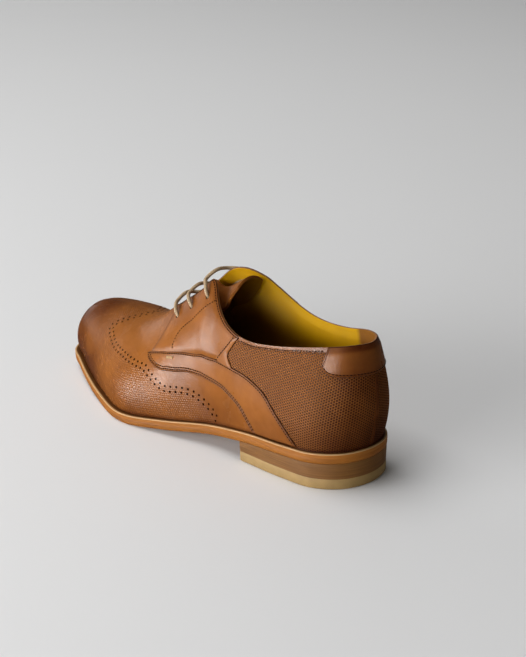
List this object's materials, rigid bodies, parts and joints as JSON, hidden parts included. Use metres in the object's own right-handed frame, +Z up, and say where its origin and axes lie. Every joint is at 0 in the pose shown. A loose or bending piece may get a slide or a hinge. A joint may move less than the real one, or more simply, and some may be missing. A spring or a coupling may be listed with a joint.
{
  "type": "dress shoe",
  "caption": "Left derby dress shoe in tan leather: hollow lasted upper with open collar, lace facings, curved side bands and heel tab on a welted leather sole with a stacked heel.",
  "frame": {"origin": "on the floor under the middle of the shoe's box", "axes": "+Y from heel to toe, +X to the inner side, +Z up"},
  "size_m": [0.1034, 0.3074, 0.113],
  "materials": {
    "upper_leather": "tan burnished calf, embossed on the quarters",
    "smooth_leather": "smooth tan burnished calf",
    "lace": "waxed round cotton",
    "lining": "yellow lining leather",
    "welt_leather": "natural tan edge",
    "sole_leather": "waxed edge, bare tread",
    "stacked_leather": "dark waxed stacked layers",
    "rubber": "beige moulded rubber"
  },
  "bodies": {
    "root": {"upper": "upper_leather", "tongue": "upper_leather", "facing_lateral": "smooth_leather", "facing_medial": "smooth_leather", "band_lateral": "smooth_leather", "band_medial": "smooth_leather", "heel_tab": "smooth_leather", "lace_bar_1": "lace", "lace_bar_2": "lace", "lace_bar_3": "lace", "insole": "lining", "welt": "welt_leather", "outsole": "sole_leather", "heel_stack": "stacked_leather", "top_lift": "rubber"}
  },
  "joints": []
}
